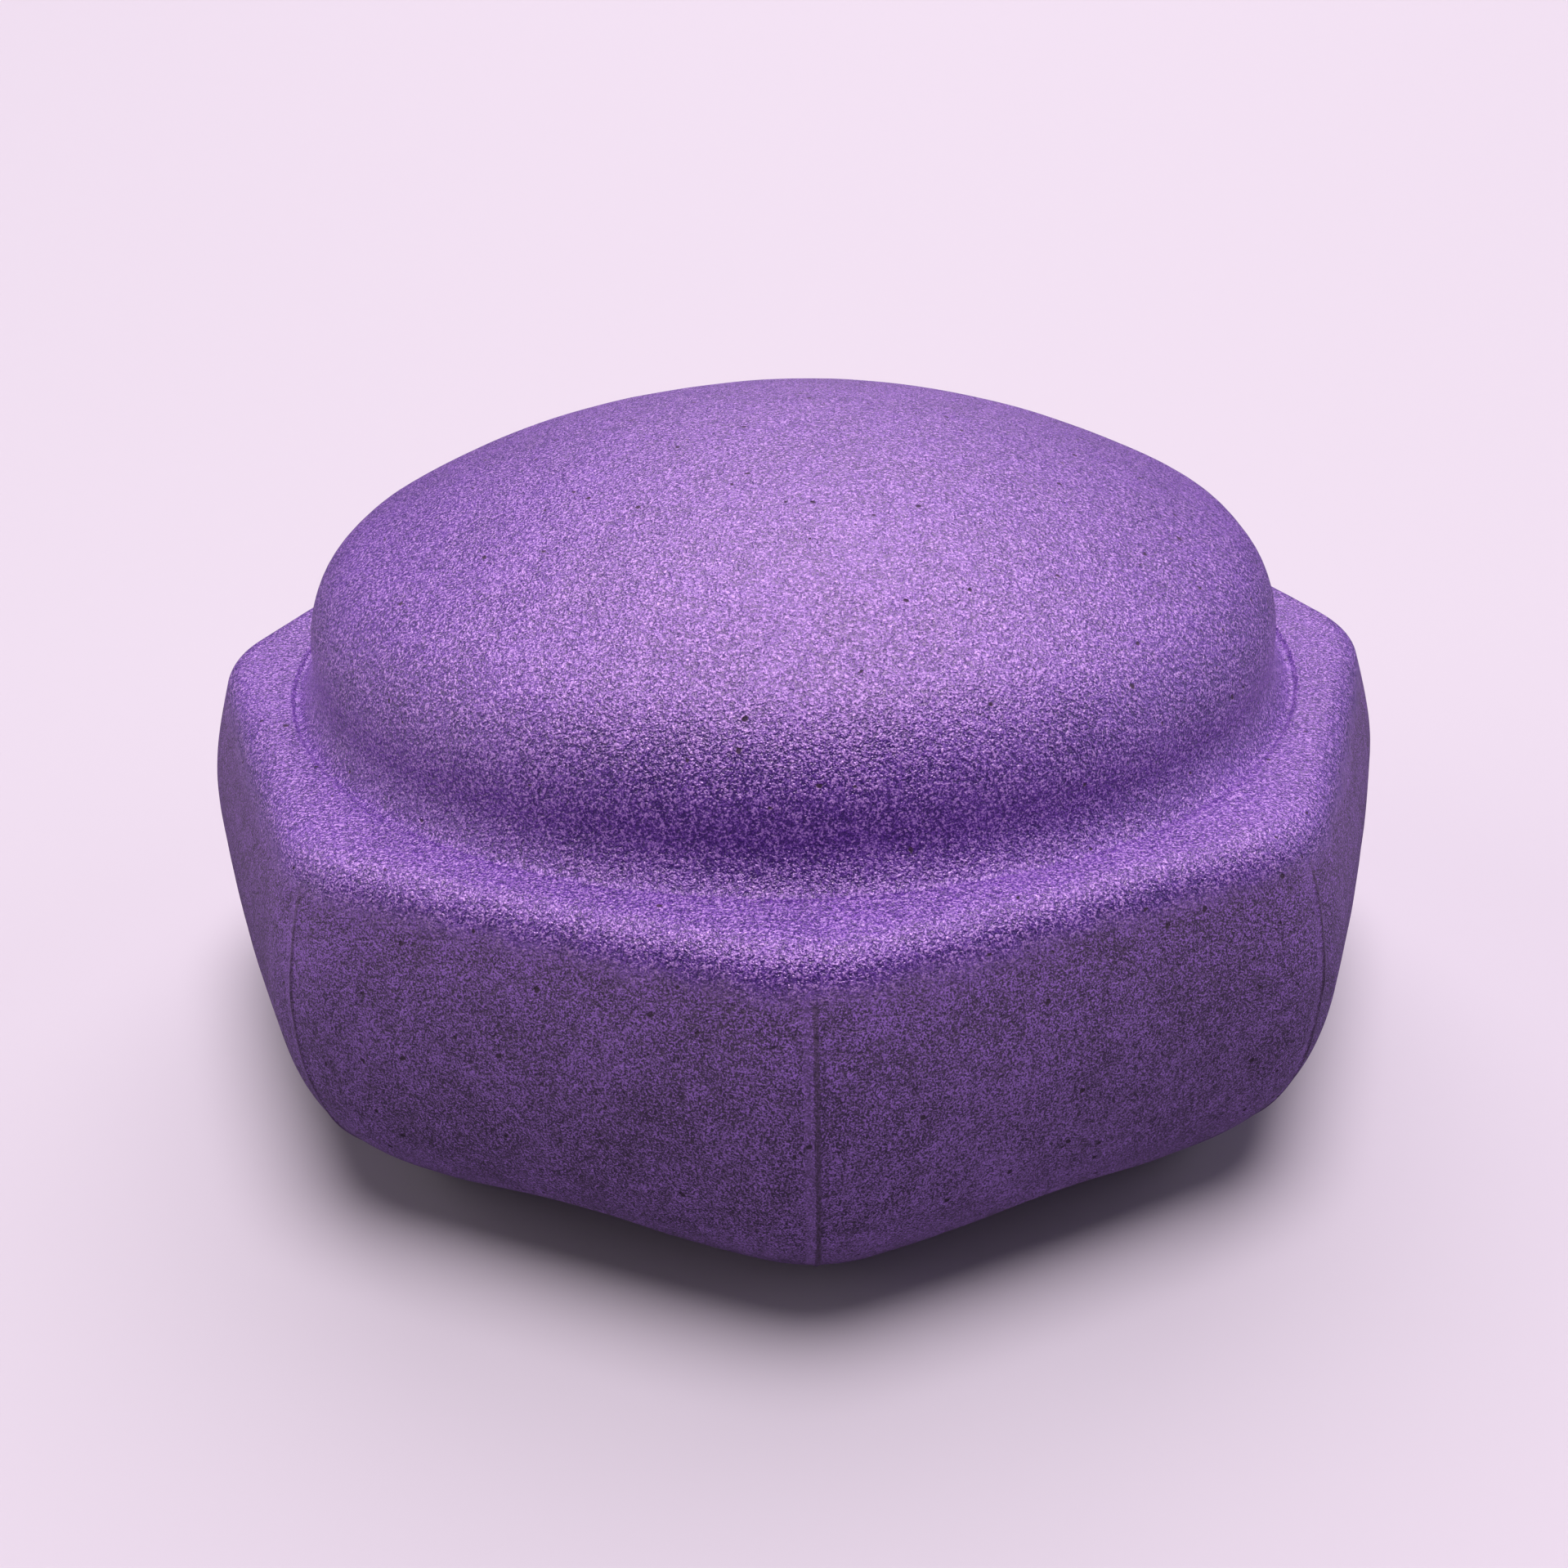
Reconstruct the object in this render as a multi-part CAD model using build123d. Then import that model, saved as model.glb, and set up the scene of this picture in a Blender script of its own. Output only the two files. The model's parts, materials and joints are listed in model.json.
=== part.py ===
from build123d import *
import math
import os

# Stacking stepping stone for balance play: one moulding of expanded bead foam.
# Millimetres, +Z up, origin at the centre of the ring that the eight feet stand on.
# A corner of the eight-sided body points along -Y.

SIDES = 8
CORNER_STEP = 360 / SIDES

# Barrel body: half width across the flats at a few heights, from the feet to the ledge.
LEDGE_HEIGHT = 77.0
BODY_HEIGHTS = (0.0, 6.0, 17.5, 35.0, 53.0, LEDGE_HEIGHT)
BODY_HALF_WIDTHS = (102.0, 104.5, 114.2, 119.6, 119.4, 112.5)
CORNER_RADIUS = 36.0
BODY_SHOULDER = 6.0

# Round dome on the ledge: a hollow curve at its foot, a short straight wall,
# a round shoulder and a flatter crown.
TOTAL_HEIGHT = 127.0
DOME_RADIUS = 98.5
DOME_FOOT_CURVE = 4.5
DOME_WALL_TOP = 86.0
DOME_SHOULDER = 21.6

# Lower edge, raised in an arch between each two feet.
ARCH_HEIGHT = 11.0
FOOT_RADIUS = 106.0
FOOT_HALF_WIDTH = 5.0
ARCH_REACH = 160.0

# Hollow underside: the dome of the stone below fits in it with a little play.
# Its straight wall guides that dome, and runs as far above the arches as they are high.
NEST_PLAY = 1.0
SOCKET_RADIUS = DOME_RADIUS + NEST_PLAY
SOCKET_WALL_TOP = 2 * ARCH_HEIGHT + NEST_PLAY
SOCKET_DEPTH = TOTAL_HEIGHT - LEDGE_HEIGHT + 2 * NEST_PLAY


def body_section(height, half_width):
    """Octagon with round corners, flat at the given height."""
    with BuildSketch(Plane.XY.offset(height)) as section:
        RegularPolygon(radius=half_width, side_count=SIDES, major_radius=False)
        fillet(section.vertices(), radius=CORNER_RADIUS)
    return section.sketch


def barrel():
    """Eight-sided barrel from the feet to the ledge, with a round shoulder."""
    sections = [body_section(z, w) for z, w in zip(BODY_HEIGHTS, BODY_HALF_WIDTHS)]
    body = loft(sections)
    rim = body.faces().sort_by(Axis.Z)[-1].edges()
    return fillet(rim, radius=BODY_SHOULDER)


def crown_arcs(radius, wall_top, top):
    """Shoulder arc and crown arc, tangent to each other, from a wall to the highest point."""
    shoulder_centre = radius - DOME_SHOULDER
    rise = top - wall_top
    crown_radius = (shoulder_centre**2 + rise**2 - DOME_SHOULDER**2) / (2 * (rise - DOME_SHOULDER))
    crown_centre = top - crown_radius
    joint_angle = math.atan2(wall_top - crown_centre, shoulder_centre)
    joint = (
        crown_radius * math.cos(joint_angle),
        crown_centre + crown_radius * math.sin(joint_angle),
    )
    shoulder_middle = (
        shoulder_centre + DOME_SHOULDER * math.cos(joint_angle / 2),
        wall_top + DOME_SHOULDER * math.sin(joint_angle / 2),
    )
    crown_angle = (joint_angle + math.pi / 2) / 2
    crown_middle = (
        crown_radius * math.cos(crown_angle),
        crown_centre + crown_radius * math.sin(crown_angle),
    )
    return [
        ThreePointArc((radius, wall_top), shoulder_middle, joint),
        ThreePointArc(joint, crown_middle, (0, top)),
    ]


def turned(outline_edges):
    """Solid of revolution about Z from a closed outline in the XZ plane."""
    face = make_face(Plane.XZ * Curve(children=outline_edges))
    return revolve(face, axis=Axis.Z)


def dome():
    """Dome above the ledge, with a hollow curve where its wall meets the ledge."""
    foot_outer = DOME_RADIUS + DOME_FOOT_CURVE
    foot_top = LEDGE_HEIGHT + DOME_FOOT_CURVE
    sunk = LEDGE_HEIGHT - BODY_SHOULDER
    diagonal = DOME_FOOT_CURVE * math.sqrt(0.5)
    foot_middle = (foot_outer - diagonal, foot_top - diagonal)
    return turned(
        [
            Line((0, sunk), (foot_outer, sunk)),
            Line((foot_outer, sunk), (foot_outer, LEDGE_HEIGHT)),
            ThreePointArc((foot_outer, LEDGE_HEIGHT), foot_middle, (DOME_RADIUS, foot_top)),
            Line((DOME_RADIUS, foot_top), (DOME_RADIUS, DOME_WALL_TOP)),
            *crown_arcs(DOME_RADIUS, DOME_WALL_TOP, TOTAL_HEIGHT),
            Line((0, TOTAL_HEIGHT), (0, sunk)),
        ]
    )


def socket():
    """Space under the stone that takes the dome of the stone below."""
    below = -ARCH_HEIGHT
    return turned(
        [
            Line((0, below), (SOCKET_RADIUS, below)),
            Line((SOCKET_RADIUS, below), (SOCKET_RADIUS, SOCKET_WALL_TOP)),
            *crown_arcs(SOCKET_RADIUS, SOCKET_WALL_TOP, SOCKET_DEPTH),
            Line((0, SOCKET_DEPTH), (0, below)),
        ]
    )


def arch_cutter():
    """Lying cylinder that lifts the lower edge between two neighbouring feet."""
    half_span = FOOT_RADIUS * math.sin(math.radians(CORNER_STEP / 2)) - FOOT_HALF_WIDTH
    radius = (half_span**2 + ARCH_HEIGHT**2) / (2 * ARCH_HEIGHT)
    lying = Location((0, 0, ARCH_HEIGHT - radius), (0, 90, 0))
    return lying * Cylinder(radius, ARCH_REACH, align=(Align.CENTER, Align.CENTER, Align.MIN))


def foam_stone():
    """The whole moulding."""
    stone = barrel() + dome() - socket()
    cutter = arch_cutter()
    for side in range(SIDES):
        stone -= Rot(0, 0, (side + 0.5) * CORNER_STEP) * cutter
    return stone


os.makedirs("parts", exist_ok=True)
export_step(foam_stone(), "parts/foam_stone.step")
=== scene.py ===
import json
import math
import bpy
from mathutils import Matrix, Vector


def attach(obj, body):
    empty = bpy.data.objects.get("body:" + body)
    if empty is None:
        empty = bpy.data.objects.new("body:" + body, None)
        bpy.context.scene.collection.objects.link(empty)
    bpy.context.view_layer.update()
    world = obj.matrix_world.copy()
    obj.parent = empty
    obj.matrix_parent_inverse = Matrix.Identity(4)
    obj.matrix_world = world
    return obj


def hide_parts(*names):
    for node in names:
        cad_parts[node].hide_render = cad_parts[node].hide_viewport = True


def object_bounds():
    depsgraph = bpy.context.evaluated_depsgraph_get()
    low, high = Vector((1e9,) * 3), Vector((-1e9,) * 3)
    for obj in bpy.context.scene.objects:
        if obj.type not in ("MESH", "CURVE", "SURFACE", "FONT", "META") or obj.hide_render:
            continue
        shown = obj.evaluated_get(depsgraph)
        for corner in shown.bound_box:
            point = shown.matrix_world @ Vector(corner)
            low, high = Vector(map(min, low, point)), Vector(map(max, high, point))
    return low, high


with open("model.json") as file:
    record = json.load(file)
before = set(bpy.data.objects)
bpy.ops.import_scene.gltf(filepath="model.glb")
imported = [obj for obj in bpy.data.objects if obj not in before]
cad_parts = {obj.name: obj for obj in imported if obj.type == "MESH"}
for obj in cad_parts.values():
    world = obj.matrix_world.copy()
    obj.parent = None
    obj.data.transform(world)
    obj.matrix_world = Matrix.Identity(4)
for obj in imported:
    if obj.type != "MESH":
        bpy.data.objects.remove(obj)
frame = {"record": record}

from types import SimpleNamespace

import bpy
import numpy as np
from mathutils import Matrix, Vector, noise

# Foam stepping stone: one closed mesh in the CAD frame, a procedural bead-foam material,
# a pale floor, broad far lights and a camera. Outline sizes are in millimetres until the
# mesh is written, which is in metres like everything else here.

MM = 0.001
NODE = "foam_stone"
cad_low, cad_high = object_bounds()
MOUNTS = {mount["name"]: mount for mount in frame["record"]["mounts"]}

# Body: eight sides, a corner towards -Y
SIDES = 8
HALF_SIDE = math.pi / SIDES
LEDGE_HEIGHT = 77.0
BODY_HEIGHTS = np.array([0.0, 6.0, 17.5, 35.0, 53.0, LEDGE_HEIGHT])
BODY_HALF_WIDTHS = np.array([99.0, 105.0, 114.2, 119.6, 119.4, 112.5])
CORNER_RADIUS = 30.0
FOOT_CORNER_RADIUS = 26.0
FOOT_CORNER_REACH = 24.0
FACE_RADIUS = 1000.0
SHOULDER_RADIUS = 6.0
SHOULDER_START = math.radians(24.0)

# Lower edge: arches between the feet, and a round lip
ARCH_HEIGHT = 12.0
ARCH_BLUNTNESS = 0.9
LIP_HEIGHT = 4.5
LIP_INSIDE = 1.2
LIP_FLAT = 0.3

# Dome, the groove round its foot, and the socket that takes the dome of the stone below
TOTAL_HEIGHT = cad_high.z / MM
DOME_RADIUS = MOUNTS["dome_spigot"]["dims"]["r_mm"]
DOME_FOOT_CURVE = 4.5
DOME_FOOT_RISE = 7.5
DOME_WALL_TOP = 86.0
DOME_SHOULDER = 21.6
CREASE_RADIUS = DOME_RADIUS + DOME_FOOT_CURVE
CREASE_DEPTH = 1.1
CREASE_WIDTH = 1.0
CREASE_STEEPNESS = 8
SOCKET_RADIUS = MOUNTS["nest_socket"]["dims"]["r_mm"]
SOCKET_WALL_TOP = MOUNTS["nest_socket"]["dims"]["length_mm"]
SOCKET_DEPTH = 52.0

# Flash line down each corner, left by the mould. It wanders sideways and its height varies;
# the phases make each corner's line different.
SEAM_HEIGHT = 0.34
SEAM_WIDTH = 0.42
SEAM_TOP = 69.0
SEAM_FADE = 4.0
SEAM_WANDER = 0.15
SEAM_WANDER_LENGTH = 6.0
SEAM_WANDER_PHASE = 3
SEAM_VARIATION = 0.2
SEAM_VARIATION_LENGTH = 2.7
SEAM_VARIATION_PHASE = 5

# Gentle unevenness of the moulded skin: size of the waves and their height
WAVES = ((38.0, 0.30), (11.0, 0.10))

# Fineness of the mesh: columns round the axis, and rows along each part of the outline
COLUMNS_PER_HALF_SIDE = 24
COLUMN_CROWDING = 2.2
SOCKET_CROWN_ROWS = 26
SOCKET_SHOULDER_ROWS = 12
SOCKET_WALL_ROWS = 8
LIP_INSIDE_ROWS = 3
LIP_ROWS = 7
SIDE_ROWS = 84
SHOULDER_ROWS = 12
LEDGE_ROWS = 7
CREASE_ROWS = 4
DOME_FOOT_ROWS = 12
DOME_SHOULDER_ROWS = 14
DOME_CROWN_ROWS = 36


def column_angles():
    """Signed angle from the nearest corner and full angle of each column, crowded at the corners."""
    steps = np.arange(-COLUMNS_PER_HALF_SIDE, COLUMNS_PER_HALF_SIDE) / COLUMNS_PER_HALF_SIDE
    from_corner = HALF_SIDE * np.sign(steps) * np.abs(steps) ** COLUMN_CROWDING
    corners = -math.pi / 2 + 2 * HALF_SIDE * np.arange(SIDES)
    around = (corners[:, None] + from_corner[None, :]).ravel()
    return np.tile(from_corner, SIDES), around


FROM_CORNER, AROUND = column_angles()
COLUMNS = len(AROUND)
MID_FACE = np.sin(np.pi * np.abs(FROM_CORNER) / (2 * HALF_SIDE)) ** 2
LIP_LINE = ARCH_HEIGHT * MID_FACE**ARCH_BLUNTNESS


def spline_bends(places, values):
    """Second derivatives of the natural cubic spline through the values."""
    gaps = np.diff(places)
    slopes = np.diff(values) / gaps
    system = np.eye(len(places))
    change = np.zeros(len(places))
    for i in range(1, len(places) - 1):
        system[i, i - 1 : i + 2] = gaps[i - 1], 2 * (gaps[i - 1] + gaps[i]), gaps[i]
        change[i] = 6 * (slopes[i] - slopes[i - 1])
    return np.linalg.solve(system, change)


BODY_BENDS = spline_bends(BODY_HEIGHTS, BODY_HALF_WIDTHS)


def body_half_width(height):
    """Half width across the flats: a smooth curve through the sections' half widths."""
    i = np.clip(np.searchsorted(BODY_HEIGHTS, height) - 1, 0, len(BODY_HEIGHTS) - 2)
    gap = BODY_HEIGHTS[i + 1] - BODY_HEIGHTS[i]
    below = height - BODY_HEIGHTS[i]
    above = BODY_HEIGHTS[i + 1] - height
    curved = (BODY_BENDS[i] * above**3 + BODY_BENDS[i + 1] * below**3) / (6 * gap)
    low = (BODY_HALF_WIDTHS[i] / gap - BODY_BENDS[i] * gap / 6) * above
    high = (BODY_HALF_WIDTHS[i + 1] / gap - BODY_BENDS[i + 1] * gap / 6) * below
    return curved + low + high


def corner_radius(height):
    """Radius of the body's corners: sharper at the feet."""
    fade = np.clip(1 - height / FOOT_CORNER_REACH, 0, 1) ** 2
    return CORNER_RADIUS + (FOOT_CORNER_RADIUS - CORNER_RADIUS) * fade


def octagon(half_width, corner, inset=0.0):
    """Distance from the axis to a round-cornered octagon with slightly crowned faces, per column."""
    angle = np.abs(FROM_CORNER)
    face = FACE_RADIUS - inset
    corner = corner - inset
    offset = face - (half_width - inset)
    linear = 2 * offset * math.cos(HALF_SIDE)
    corner_centre = (-linear + np.sqrt(linear**2 - 4 * (offset**2 - (face - corner) ** 2))) / 2
    flat = -offset * np.cos(HALF_SIDE - angle)
    flat = flat + np.sqrt(face**2 - (offset * np.sin(HALF_SIDE - angle)) ** 2)
    reach = np.maximum(corner**2 - (corner_centre * np.sin(angle)) ** 2, 0)
    round_corner = corner_centre * np.cos(angle) + np.sqrt(reach)
    face_x = -offset * math.cos(HALF_SIDE)
    face_y = -offset * math.sin(HALF_SIDE)
    joint = np.arctan2(-face_y, corner_centre - face_x)
    joint_x = face_x + face * np.cos(joint)
    joint_y = face_y + face * np.sin(joint)
    return np.where(angle < np.arctan2(joint_y, joint_x), round_corner, flat)


def body_radius(height):
    """Distance from the axis to the barrel's side at a height, per column."""
    return octagon(body_half_width(height), corner_radius(height))


def ring(radius, height):
    """One row of the mesh: radius and height of each column."""
    radius = np.broadcast_to(radius, COLUMNS).astype(float)
    height = np.broadcast_to(height, COLUMNS).astype(float)
    return radius, height


def arc_ring(centre_radius, centre_height, size, angle):
    """The row at an angle on an arc of the outline."""
    return ring(centre_radius + size * math.cos(angle), centre_height + size * math.sin(angle))


def parts_after_start(count):
    """Even steps from 0 to 1, without the 0."""
    return np.linspace(0, 1, count + 1)[1:]


def crown_rows(radius, wall_top, top, shoulder_count, crown_count):
    """Rows up a shoulder arc and a crown arc, tangent to each other, stopping short of the pole."""
    shoulder_centre = radius - DOME_SHOULDER
    rise = top - wall_top
    crown = (shoulder_centre**2 + rise**2 - DOME_SHOULDER**2) / (2 * (rise - DOME_SHOULDER))
    crown_centre = top - crown
    joint = math.atan2(wall_top - crown_centre, shoulder_centre)
    shoulder_angles = np.linspace(0, joint, shoulder_count)
    crown_angles = np.linspace(joint, math.pi / 2, crown_count + 1)[1:-1]
    rows = [arc_ring(shoulder_centre, wall_top, DOME_SHOULDER, angle) for angle in shoulder_angles]
    rows += [arc_ring(0, crown_centre, crown, angle) for angle in crown_angles]
    return rows


def socket_rows():
    """Rows of the hollow underside, from its ceiling down to the lip."""
    rows = crown_rows(
        SOCKET_RADIUS, SOCKET_WALL_TOP, SOCKET_DEPTH, SOCKET_SHOULDER_ROWS, SOCKET_CROWN_ROWS
    )
    rows.reverse()
    for part in parts_after_start(SOCKET_WALL_ROWS):
        height = SOCKET_WALL_TOP * (1 - part) + (LIP_LINE + LIP_INSIDE) * part
        rows.append(ring(SOCKET_RADIUS, height))
    return rows


def lip_rows():
    """Rows round the lower edge, from the socket's wall to the outside."""
    rows = []
    for angle in parts_after_start(LIP_INSIDE_ROWS) * math.pi / 2:
        radius = SOCKET_RADIUS + LIP_INSIDE * (1 - math.cos(angle))
        height = LIP_LINE + LIP_INSIDE * (1 - math.sin(angle))
        rows.append(ring(radius, height))
    inner = SOCKET_RADIUS + LIP_INSIDE + LIP_FLAT
    outer = body_radius(LIP_LINE + LIP_HEIGHT)
    edge = np.maximum(body_radius(LIP_LINE), inner)
    for part in np.linspace(0, 1, LIP_ROWS + 1)[:-1]:
        radius = (1 - part) ** 2 * inner + 2 * part * (1 - part) * edge + part**2 * outer
        rows.append(ring(radius, LIP_LINE + part**2 * LIP_HEIGHT))
    return rows


def side_rows():
    """Rows up the barrel's sides to the start of the shoulder."""
    top = LEDGE_HEIGHT - SHOULDER_RADIUS * (1 - math.sin(SHOULDER_START))
    rows = []
    for part in np.linspace(0, 1, SIDE_ROWS):
        height = (LIP_LINE + LIP_HEIGHT) * (1 - part) + top * part
        rows.append(ring(body_radius(height), height))
    return rows


def shoulder_rows():
    """Rows over the body's round shoulder, each an inset octagon."""
    start_height = LEDGE_HEIGHT - SHOULDER_RADIUS * (1 - math.sin(SHOULDER_START))
    start_width = body_half_width(start_height)
    rows = []
    for angle in np.linspace(SHOULDER_START, math.pi / 2, SHOULDER_ROWS + 1)[1:]:
        inset = SHOULDER_RADIUS * (math.cos(SHOULDER_START) - math.cos(angle))
        height = start_height + SHOULDER_RADIUS * (math.sin(angle) - math.sin(SHOULDER_START))
        rows.append(ring(octagon(start_width, CORNER_RADIUS, inset), height))
    return rows


def ledge_rows(rim):
    """Rows of the flat ledge, from the octagon's rim in to the dome's round crease."""
    groove = CREASE_RADIUS + CREASE_WIDTH
    rows = []
    for part in parts_after_start(LEDGE_ROWS):
        rows.append(ring(rim * (1 - part) + groove * part, LEDGE_HEIGHT))
    for part in parts_after_start(CREASE_ROWS):
        dip = CREASE_DEPTH * math.sin(math.pi * part / 2) ** 2
        rows.append(ring(groove - CREASE_WIDTH * part, LEDGE_HEIGHT - dip))
    return rows


def dome_foot_rows():
    """Rows up the hollow curve at the dome's foot and its short straight wall."""
    foot_top = LEDGE_HEIGHT + DOME_FOOT_RISE
    rows = []
    for angle in parts_after_start(DOME_FOOT_ROWS) * math.pi / 2:
        radius = CREASE_RADIUS - DOME_FOOT_CURVE * math.sin(angle)
        dip = CREASE_DEPTH * math.cos(angle) ** CREASE_STEEPNESS
        rows.append(ring(radius, foot_top - DOME_FOOT_RISE * math.cos(angle) - dip))
    rows.append(ring(DOME_RADIUS, (foot_top + DOME_WALL_TOP) / 2))
    return rows


def skin_rows():
    """Every row, from the socket's ceiling round the lip and over the outside to the dome's top."""
    shoulder = shoulder_rows()
    rim = shoulder[-1][0]
    rows = socket_rows() + lip_rows() + side_rows() + shoulder
    rows += ledge_rows(rim) + dome_foot_rows()
    rows += crown_rows(DOME_RADIUS, DOME_WALL_TOP, TOTAL_HEIGHT, DOME_SHOULDER_ROWS, DOME_CROWN_ROWS)
    return rows


def grid_normals(points):
    """Outward unit normal at each point of the row-by-column grid."""
    along = np.roll(points, -1, axis=1) - np.roll(points, 1, axis=1)
    up = np.gradient(points, axis=0)
    normals = np.cross(along, up)
    return normals / np.maximum(np.linalg.norm(normals, axis=2, keepdims=True), 1e-9)


def seam_relief(points):
    """Height of the flash line at each point: a narrow ridge that starts under the shoulder."""
    height = points[..., 2]
    radius = np.hypot(points[..., 0], points[..., 1])
    wander = SEAM_WANDER * np.sin(height / SEAM_WANDER_LENGTH + SEAM_WANDER_PHASE * AROUND)
    across = radius * FROM_CORNER + wander
    outside = radius > SOCKET_RADIUS + LIP_INSIDE
    fade = np.clip((SEAM_TOP - height) / SEAM_FADE, 0, 1) * outside
    wave = np.sin(height / SEAM_VARIATION_LENGTH + SEAM_VARIATION_PHASE * AROUND)
    strength = 1 - SEAM_VARIATION + SEAM_VARIATION * wave
    return SEAM_HEIGHT * strength * fade * np.exp(-((across / SEAM_WIDTH) ** 2))


def wave_relief(points):
    """Height of the skin's gentle unevenness at each point."""
    relief = np.zeros(points.shape[:2])
    for size, height in WAVES:
        for index in np.ndindex(relief.shape):
            relief[index] += height * noise.noise(Vector(points[index] / size))
    return relief


def skin_faces(row_count):
    """Quads between neighbouring rows, and a fan at each pole. The poles are vertices 0 and 1."""
    first = 2
    last_row = first + (row_count - 1) * COLUMNS
    faces = []
    for column in range(COLUMNS):
        beside = (column + 1) % COLUMNS
        faces.append((0, first + beside, first + column))
        faces.append((1, last_row + column, last_row + beside))
        for row in range(row_count - 1):
            low = first + row * COLUMNS
            high = low + COLUMNS
            faces.append((low + column, low + beside, high + beside, high + column))
    return faces


def skin_mesh():
    """The closed mesh of the whole stone, in metres."""
    rows = skin_rows()
    radius = np.array([row[0] for row in rows])
    height = np.array([row[1] for row in rows])
    points = np.stack([radius * np.cos(AROUND), radius * np.sin(AROUND), height], axis=2)
    relief = seam_relief(points) + wave_relief(points)
    points = points + grid_normals(points) * relief[..., None]
    points[..., 2] = np.maximum(points[..., 2], 0.0)
    ceiling = (0.0, 0.0, SOCKET_DEPTH)
    top = (0.0, 0.0, points[-1, :, 2].mean())
    vertices = np.array([ceiling, top, *points.reshape(-1, 3).tolist()])
    mesh = bpy.data.meshes.new("foam_stone_skin")
    mesh.from_pydata((vertices * MM).tolist(), [], skin_faces(len(rows)))
    mesh.shade_smooth()
    return mesh


# Material: noise patterns, each with its size in millimetres, detail, roughness and distortion
PEBBLES = (0.34, 1.0, 0.5, 0.6)
LUMPS = (0.62, 1.0, 0.5, 0.6)
CRINKLES = (1.1, 2.0, 0.6, 2.0)
FINE_GRAIN = (0.32, 1.0, 0.6, 0.0)
CLOUDS = (42.0, 2.0, 0.5, 0.0)
PATCHES = (12.0, 3.0, 0.6, 0.0)
RAGGED_EDGE = (6.0, 3.0, 0.5, 0.0)
BEAD_BENDS = (2.5, 2.0, 0.5, 0.0)
HOLE_BENDS = (1.2, 2.0, 0.5, 0.0)

# Beads and pinholes: spacing and the bending of their edges, in millimetres
BEAD_SIZE = 3.6
BEAD_BEND_REACH = 0.9
HOLE_SPACING = 3.6
HOLE_BEND_REACH = 0.5

# Beads and pinholes: widths as shares of a cell, and the share of cells with no pinhole
BEAD_LINE_WIDTH = 0.07
BEAD_SLOPE_WIDTH = 0.12
HOLE_LARGEST = 0.16
HOLE_RIM = 0.045
HOLE_EMPTY_SHARE = 0.40

# The satin top skin starts between these heights, in millimetres, along a ragged edge
TOP_SKIN_FROM = 67.0
TOP_SKIN_TO = 74.0
TOP_SKIN_RAGGED = 5.0

# Painted light at the seams, by distance from the corner's line in millimetres: a dark line
# of painted shade, and a pale strip of painted highlight beside it
SEAM_SHADE_EDGE = (0.25, 0.60)
SEAM_HIGHLIGHT_OFFSET = 1.3
SEAM_HIGHLIGHT_EDGE = (0.6, 0.9)

# How strongly each pattern changes the colour
PATCH_TONE = 0.5
CLOUD_TONE = 0.5
BEAD_TONE = 0.20
CRINKLE_WIDTH = 0.10
CRINKLE_TONE = 0.55
FINE_TONE = 4.6
FINE_TONE_START = -2.28
BEAD_LINE_TONE = 0.35
# Painted shade on the seam's dark line and painted highlight on its pale strip
SEAM_SHADE_TONE = 0.65
SEAM_HIGHLIGHT_TONE = 0.22
# The top's tone follows the pebbles' relief: the dark hollows are painted shade and the pale crests a
# painted highlight
PEBBLE_SHARE = 0.55
LUMP_SHARE = 0.45
TOP_TONE_RANGE = (0.40, 0.58)
CREST_GLINT_RANGE = (0.52, 0.62)
CREST_GLINT_TONE = 0.60
# Pinholes coloured near black: painted shade in the voids
HOLE_SHADE_TONE = 0.92

# Height of each pattern's relief, in millimetres
CRINKLE_RELIEF = 0.07
BEAD_RELIEF = 0.12
LUMP_RELIEF = 0.38
PEBBLE_RELIEF = 0.18
FINE_RELIEF = 0.18
PATCH_RELIEF = 0.4
HOLE_RELIEF = -0.7

SIDE_ROUGHNESS = 0.64
TOP_ROUGHNESS = 0.17
FINE_ROUGHNESS = 0.16
HOLE_ROUGHNESS = 0.8
SKIN_IOR = 1.68
SPECULAR_LEVEL = 1.0
SPECULAR_TINT = (1.0, 0.74, 1.0, 1)

SIDE_DEEP = (0.010, 0.002, 0.048, 1)
SIDE_LIGHT = (0.270, 0.120, 0.550, 1)
# Top colours: the deep one is painted shade in the pebbles' hollows, the pale crest one a painted
# highlight
TOP_DEEP = (0.030, 0.005, 0.150, 1)
TOP_LIGHT = (0.190, 0.062, 0.470, 1)
TOP_CREST_GLINT = (0.760, 0.460, 0.960, 1)
# Dark colour of the bead outlines, and the painted shade of the seam lines
LINE_AND_SEAM_SHADE_COLOUR = (0.022, 0.008, 0.050, 1)
# Near-black colour of the pinholes: painted shade inside them
HOLE_SHADE_COLOUR = (0.006, 0.002, 0.014, 1)


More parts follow.
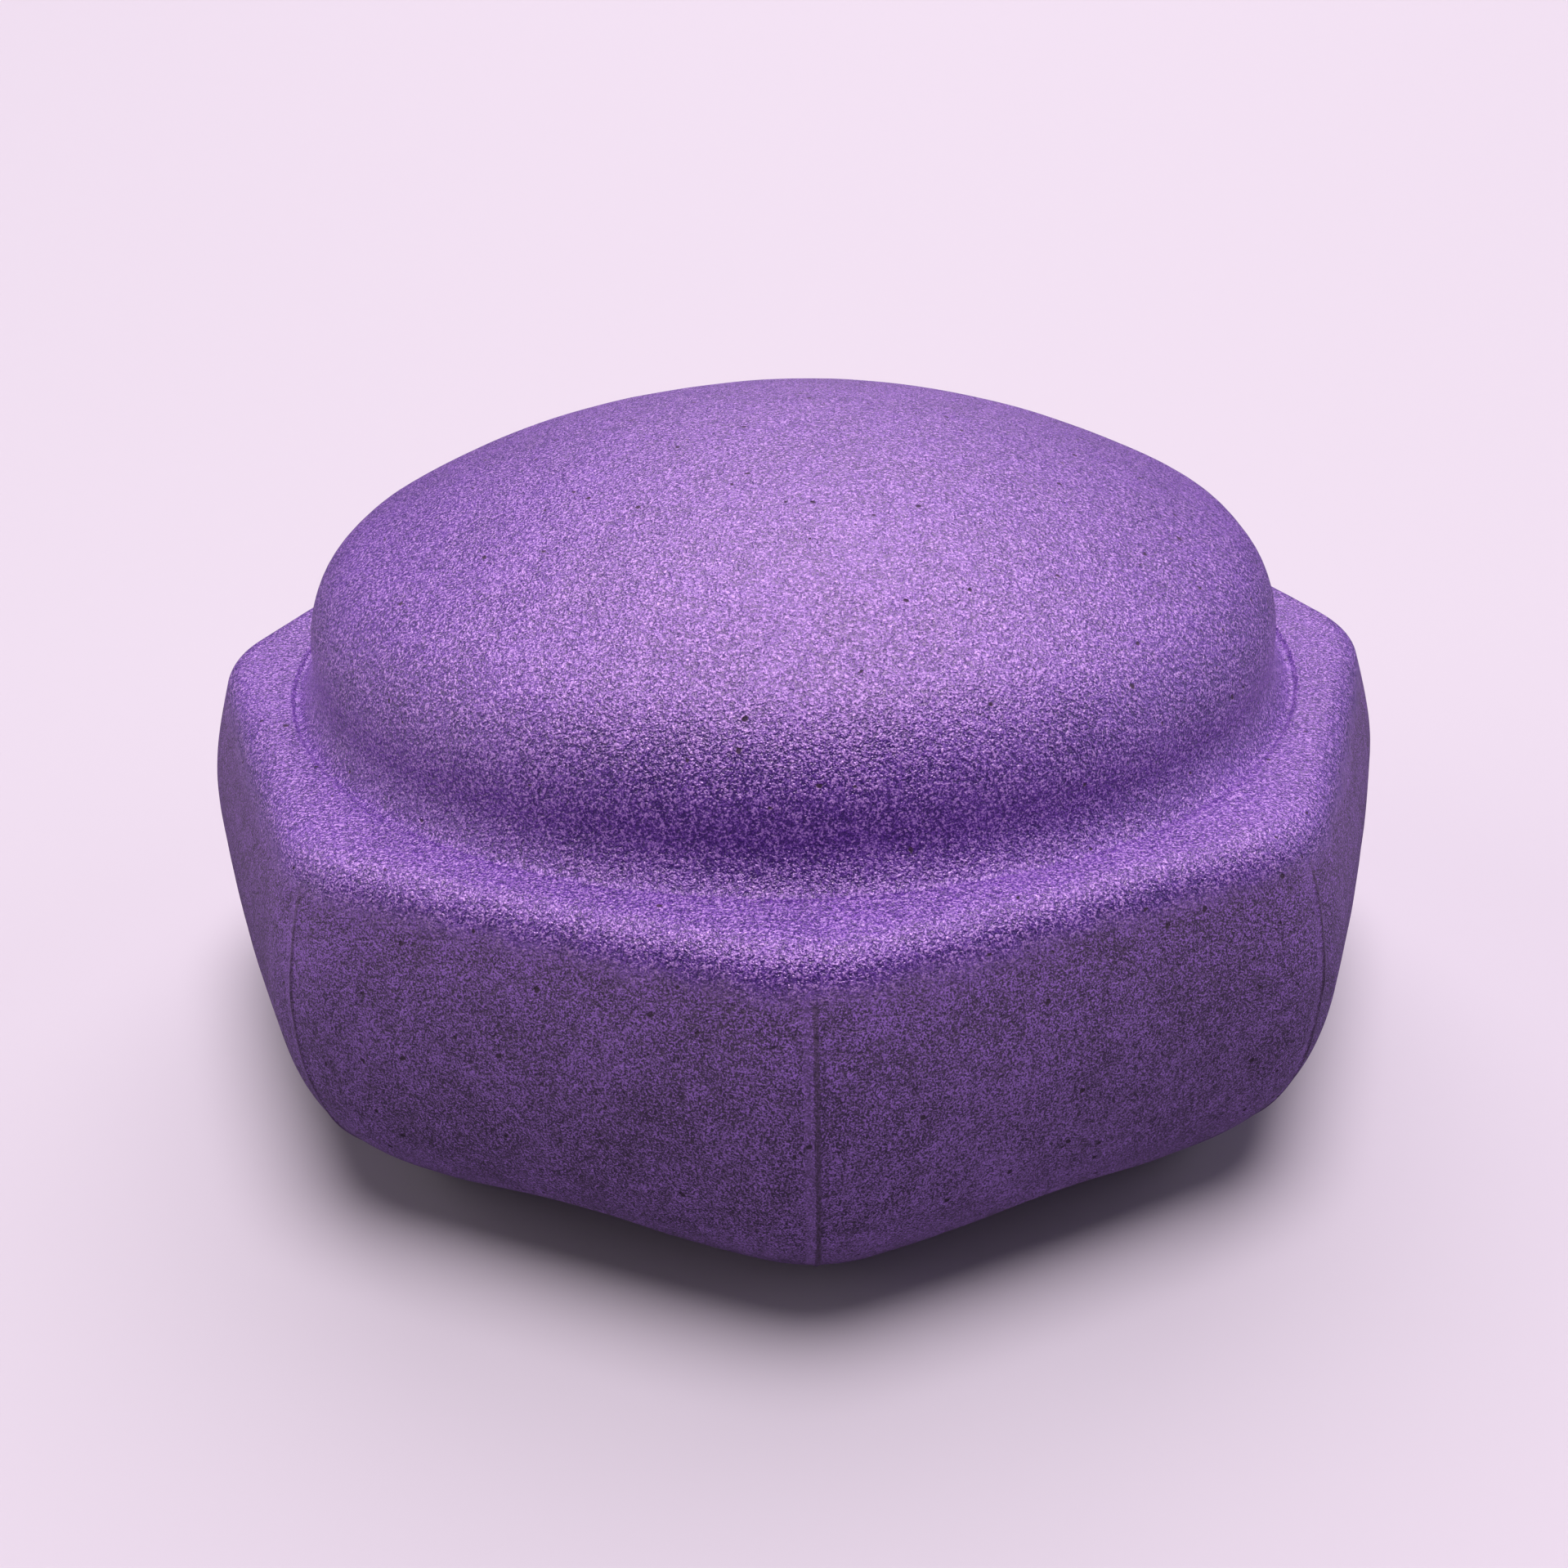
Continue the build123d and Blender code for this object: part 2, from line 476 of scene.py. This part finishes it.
class Shader:
    """Short calls for building one material's nodes."""

    def __init__(self, name):
        self.material = bpy.data.materials.new(name)
        self.material.use_nodes = True
        self.tree = self.material.node_tree
        self.surface = self.tree.nodes["Principled BSDF"]
        self.place = self.tree.nodes.new("ShaderNodeTexCoord").outputs["Object"]

    def node(self, kind, inputs=(), **settings):
        """A new node's outputs."""
        made = self.tree.nodes.new(kind)
        for name, value in settings.items():
            setattr(made, name, value)
        for name, value in dict(inputs).items():
            self.join(made.inputs[name], value)
        return made.outputs

    def join(self, socket, value):
        """Links a socket to another node's output, or sets it to a plain value."""
        if isinstance(value, bpy.types.NodeSocket):
            self.tree.links.new(value, socket)
        else:
            socket.default_value = value

    def math(self, operation, *values, clamp=False):
        inputs = dict(enumerate(values))
        return self.node("ShaderNodeMath", inputs, operation=operation, use_clamp=clamp)[0]

    def vector_math(self, operation, inputs):
        return self.node("ShaderNodeVectorMath", inputs, operation=operation)

    def total(self, *terms, start=0.0):
        """start plus value times factor for each (value, factor) term."""
        result = start
        for value, factor in terms:
            result = self.math("MULTIPLY_ADD", value, factor, result)
        return result

    def ramp(self, value, low, high, to_low=0.0, to_high=1.0):
        """value's range low to high, taken smoothly to the range to_low to to_high."""
        inputs = {"Value": value, "From Min": low, "From Max": high, "To Min": to_low, "To Max": to_high}
        return self.node("ShaderNodeMapRange", inputs, interpolation_type="SMOOTHSTEP")["Result"]

    def mix(self, factor, low, high):
        """Blend of two colours. The node's colour sockets are its inputs 6 and 7 and its output 2."""
        return self.node("ShaderNodeMix", {0: factor, 6: low, 7: high}, data_type="RGBA")[2]

    def channel(self, colour, name):
        return self.node("ShaderNodeSeparateColor", {"Color": colour})[name]

    def noise(self, pattern):
        """Outputs of a noise: its pattern is size in millimetres, detail, roughness and distortion."""
        size, detail, roughness, distortion = pattern
        inputs = {
            "Vector": self.place,
            "Scale": 1 / (size * MM),
            "Detail": detail,
            "Roughness": roughness,
            "Distortion": distortion,
        }
        return self.node("ShaderNodeTexNoise", inputs)

    def cells(self, size, feature, place):
        """Outputs of a cell pattern, its size in millimetres."""
        inputs = {"Vector": place, "Scale": 1 / (size * MM)}
        return self.node("ShaderNodeTexVoronoi", inputs, feature=feature)

    def bent(self, pattern, reach):
        """Places shifted by a noise, up to reach in millimetres, so that cell edges aren't straight."""
        centred = self.vector_math("SUBTRACT", {0: self.noise(pattern)["Color"], 1: (0.5, 0.5, 0.5)})
        shift = self.vector_math("SCALE", {0: centred[0], "Scale": 2 * reach * MM})
        return self.vector_math("ADD", {0: self.place, 1: shift[0]})[0]

    def seam_distance(self):
        """Signed distance in millimetres from the nearest corner's line, round the axis."""
        place = self.node("ShaderNodeSeparateXYZ", {0: self.place})
        level = self.vector_math("MULTIPLY", {0: self.place, 1: (1, 1, 0)})
        radius = self.vector_math("LENGTH", {0: level[0]})["Value"]
        around = self.math("ARCTAN2", place["Y"], place["X"])
        quarter_turned = self.math("ADD", around, math.pi / 2)
        from_corner = self.math("WRAP", quarter_turned, HALF_SIDE, -HALF_SIDE)
        return self.math("MULTIPLY", from_corner, self.math("MULTIPLY", radius, 1 / MM))


def top_skin(s):
    """1 on the satin top skin, 0 on the matt sides, with a ragged edge between them."""
    height = s.node("ShaderNodeSeparateXYZ", {0: s.place})["Z"]
    ragged = TOP_SKIN_RAGGED * MM
    edge = s.total((s.noise(RAGGED_EDGE)["Fac"], ragged), start=-ragged / 2)
    return s.ramp(s.math("ADD", height, edge), TOP_SKIN_FROM * MM, TOP_SKIN_TO * MM)


def pinholes(s):
    """1 in the pinholes, which differ in size."""
    cell = s.cells(HOLE_SPACING, "F1", s.bent(HOLE_BENDS, HOLE_BEND_REACH))
    random = s.channel(cell["Color"], "Green")
    size = s.ramp(random, HOLE_EMPTY_SHARE, 1.0, 0.0, HOLE_LARGEST)
    return s.ramp(s.math("SUBTRACT", size, cell["Distance"]), 0.0, HOLE_RIM)


def crinkles(s):
    """Thin winding furrows, 0 along their middle."""
    off_middle = s.math("SUBTRACT", s.noise(CRINKLES)["Fac"], 0.5)
    return s.ramp(s.math("ABSOLUTE", off_middle), 0.0, CRINKLE_WIDTH)


def foam_patterns(s):
    """The patterns that the foam's colour, roughness and relief are made of."""
    bead_place = s.bent(BEAD_BENDS, BEAD_BEND_REACH)
    bead_random = s.channel(s.cells(BEAD_SIZE, "F1", bead_place)["Color"], "Red")
    patches = s.noise(PATCHES)["Fac"]
    clouds = s.noise(CLOUDS)["Fac"]
    return SimpleNamespace(
        top_skin=top_skin(s),
        bead_gap=s.cells(BEAD_SIZE, "DISTANCE_TO_EDGE", bead_place)["Distance"],
        hole=pinholes(s),
        crinkle=crinkles(s),
        pebble=s.noise(PEBBLES)["Fac"],
        lump=s.noise(LUMPS)["Fac"],
        fine=s.noise(FINE_GRAIN)["Fac"],
        patches=patches,
        drift=s.total(
            (patches, PATCH_TONE),
            (clouds, CLOUD_TONE),
            (bead_random, BEAD_TONE),
            start=-(PATCH_TONE + CLOUD_TONE + BEAD_TONE) / 2,
        ),
    )


def side_colour(s, p):
    """Matt side: crinkled grain, bead outlines, and at each corner a painted shade line and a pale
    painted highlight strip.
    """
    tone = s.total((p.fine, FINE_TONE), (p.crinkle, CRINKLE_TONE), start=FINE_TONE_START)
    colour = s.mix(s.math("ADD", tone, p.drift, clamp=True), SIDE_DEEP, SIDE_LIGHT)
    bead_line = s.ramp(p.bead_gap, 0.0, BEAD_LINE_WIDTH, BEAD_LINE_TONE, 0.0)
    colour = s.mix(bead_line, colour, LINE_AND_SEAM_SHADE_COLOUR)
    # Each corner's seam: a dark line of painted shade and a pale strip of painted highlight beside it
    seam = s.seam_distance()
    from_seam_highlight = s.math("ABSOLUTE", s.math("ADD", seam, SEAM_HIGHLIGHT_OFFSET))
    colour = s.mix(s.ramp(from_seam_highlight, *SEAM_HIGHLIGHT_EDGE, SEAM_HIGHLIGHT_TONE, 0.0), colour, SIDE_LIGHT)
    seam_shade = s.ramp(s.math("ABSOLUTE", seam), *SEAM_SHADE_EDGE, SEAM_SHADE_TONE, 0.0)
    below_skin = s.math("SUBTRACT", 1.0, p.top_skin)
    return s.mix(s.math("MULTIPLY", seam_shade, below_skin), colour, LINE_AND_SEAM_SHADE_COLOUR)


def top_colour(s, p):
    """Satin top: deep violet between the pebbles as painted shade, and pale on their crests as a painted
    highlight.
    """
    rise = s.total((p.pebble, PEBBLE_SHARE), (p.lump, LUMP_SHARE))
    tone = s.ramp(rise, *TOP_TONE_RANGE)
    colour = s.mix(s.math("ADD", tone, p.drift, clamp=True), TOP_DEEP, TOP_LIGHT)
    # Pale crests: a painted highlight standing in for glints
    return s.mix(s.ramp(rise, *CREST_GLINT_RANGE, 0.0, CREST_GLINT_TONE), colour, TOP_CREST_GLINT)


def foam_relief(s, p):
    """Height of the skin's relief in millimetres."""
    bead_slope = s.ramp(p.bead_gap, 0.0, BEAD_SLOPE_WIDTH)
    side = s.total((bead_slope, BEAD_RELIEF), (p.crinkle, CRINKLE_RELIEF))
    top = s.total((p.pebble, PEBBLE_RELIEF), (p.lump, LUMP_RELIEF))
    either = s.total((p.top_skin, s.math("SUBTRACT", top, side)), start=side)
    return s.total((p.fine, FINE_RELIEF), (p.patches, PATCH_RELIEF), (p.hole, HOLE_RELIEF), start=either)


def foam_material():
    """Moulded bead foam: a pebbled top skin, matt crinkled sides with bead outlines, and pinholes."""
    s = Shader("violet_bead_foam")
    p = foam_patterns(s)
    colour = s.mix(p.top_skin, side_colour(s, p), top_colour(s, p))
    # Pinholes: near-black painted shade inside them
    colour = s.mix(s.math("MULTIPLY", p.hole, HOLE_SHADE_TONE), colour, HOLE_SHADE_COLOUR)
    s.join(s.surface.inputs["Base Color"], colour)

    roughness = s.ramp(p.top_skin, 0.0, 1.0, SIDE_ROUGHNESS, TOP_ROUGHNESS)
    roughness = s.total((p.fine, FINE_ROUGHNESS), (p.hole, HOLE_ROUGHNESS), start=roughness)
    s.join(s.surface.inputs["Roughness"], roughness)
    s.surface.inputs["IOR"].default_value = SKIN_IOR
    s.surface.inputs["Specular IOR Level"].default_value = SPECULAR_LEVEL
    s.surface.inputs["Specular Tint"].default_value = SPECULAR_TINT

    bump = s.node("ShaderNodeBump", {"Height": foam_relief(s, p), "Strength": 1.0, "Distance": MM})
    s.join(s.surface.inputs["Normal"], bump["Normal"])
    return s.material


def foam_stone():
    """The visible stone, standing for the CAD node."""
    stone = bpy.data.objects.new("foam_stone_skin", skin_mesh())
    bpy.context.scene.collection.objects.link(stone)
    stone.data.materials.append(foam_material())
    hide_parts(NODE)
    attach(stone, "root")
    return stone


# Stage
FLOOR_REACH = 40.0
FLOOR_COLOUR = (0.58, 0.56, 0.58, 1)
FLOOR_ROUGHNESS = 0.7
FLOOR_SPECULAR = 0.2
WORLD_COLOUR = (0.92, 0.76, 0.98, 1)
WORLD_STRENGTH = 0.11
BACKDROP_COLOUR = (0.80, 0.69, 0.80, 1)

# Broad far lights: name, strength, width, the side it comes from, colour
SUNS = (
    ("overhead", 2.9, math.radians(34), Vector((0.04, -0.05, 1.0)), (1.0, 0.88, 1.0)),
    ("behind", 1.6, math.radians(60), Vector((0.08, 0.80, 0.90)), (1.0, 0.86, 1.0)),
    ("left", 0.90, math.radians(58), Vector((-1.0, 0.18, 0.24)), (1.0, 0.94, 0.93)),
    ("right", 0.72, math.radians(58), Vector((1.0, 0.22, 0.24)), (0.88, 0.84, 1.0)),
)

# Camera, in the CAD frame: distance from the point it looks at, and its angles in degrees
CAMERA_TARGET_MM = (-2.5, 0.0, 41.8)
CAMERA_DISTANCE_MM = 364.0
CAMERA_ELEVATION = 28.2
CAMERA_ROLL = -1.28
CAMERA_TURN = -0.70
CAMERA_LENS = 37.28
CAMERA_SENSOR = 36.0
CAMERA_CLIP_START = 0.01


def floor():
    """Plain pale floor at the height of the feet. Its reflection is left out of the satin skin."""
    mesh = bpy.data.meshes.new("studio_floor")
    corners = [(x * FLOOR_REACH, y * FLOOR_REACH, 0.0) for x, y in ((-1, -1), (1, -1), (1, 1), (-1, 1))]
    mesh.from_pydata(corners, [], [(0, 1, 2, 3)])
    made = bpy.data.objects.new("studio_floor", mesh)
    bpy.context.scene.collection.objects.link(made)
    material = bpy.data.materials.new("pale_floor")
    material.use_nodes = True
    surface = material.node_tree.nodes["Principled BSDF"]
    surface.inputs["Base Color"].default_value = FLOOR_COLOUR
    surface.inputs["Roughness"].default_value = FLOOR_ROUGHNESS
    surface.inputs["Specular IOR Level"].default_value = FLOOR_SPECULAR
    mesh.materials.append(material)
    made.visible_glossy = False


def surroundings():
    """Even pale light from all round, and a backdrop about as bright as the floor past its edge."""
    world = bpy.data.worlds.new("studio")
    world.use_nodes = True
    tree = world.node_tree
    soft_light = tree.nodes["Background"]
    soft_light.inputs["Color"].default_value = WORLD_COLOUR
    soft_light.inputs["Strength"].default_value = WORLD_STRENGTH
    backdrop = tree.nodes.new("ShaderNodeBackground")
    backdrop.inputs["Color"].default_value = BACKDROP_COLOUR
    seen = tree.nodes.new("ShaderNodeLightPath")
    either = tree.nodes.new("ShaderNodeMixShader")
    tree.links.new(seen.outputs["Is Camera Ray"], either.inputs[0])
    tree.links.new(soft_light.outputs[0], either.inputs[1])
    tree.links.new(backdrop.outputs[0], either.inputs[2])
    tree.links.new(either.outputs[0], tree.nodes["World Output"].inputs["Surface"])
    bpy.context.scene.world = world


def lights():
    """Broad far lights from above, behind, the left and the right, each shining at the stone."""
    for name, strength, width, side, colour in SUNS:
        sun = bpy.data.lights.new(name, "SUN")
        sun.energy = strength
        sun.angle = width
        sun.color = colour
        lamp = bpy.data.objects.new(name, sun)
        lamp.location = side
        lamp.rotation_euler = (-side).to_track_quat("-Z", "Y").to_euler()
        bpy.context.scene.collection.objects.link(lamp)


def camera():
    """Camera close to the stone, looking down at its front corner."""
    elevation = math.radians(CAMERA_ELEVATION)
    roll = math.radians(CAMERA_ROLL)
    back = Vector((0, -math.cos(elevation), math.sin(elevation)))
    level_up = Vector((0, math.sin(elevation), math.cos(elevation)))
    level_right = Vector((1, 0, 0))
    right = level_right * math.cos(roll) + level_up * math.sin(roll)
    up = level_up * math.cos(roll) - level_right * math.sin(roll)
    place = (Vector(CAMERA_TARGET_MM) + back * CAMERA_DISTANCE_MM) * MM
    pose = Matrix((right, up, back)).transposed().to_4x4()
    pose.translation = place
    data = bpy.data.cameras.new("camera")
    data.lens = CAMERA_LENS
    data.sensor_width = CAMERA_SENSOR
    data.clip_start = CAMERA_CLIP_START
    made = bpy.data.objects.new("camera", data)
    made.matrix_world = Matrix.Rotation(math.radians(CAMERA_TURN), 4, "Z") @ pose
    bpy.context.scene.collection.objects.link(made)
    bpy.context.scene.camera = made


bpy.context.scene.view_settings.view_transform = "Standard"
camera()
foam_stone()
floor()
surroundings()
lights()
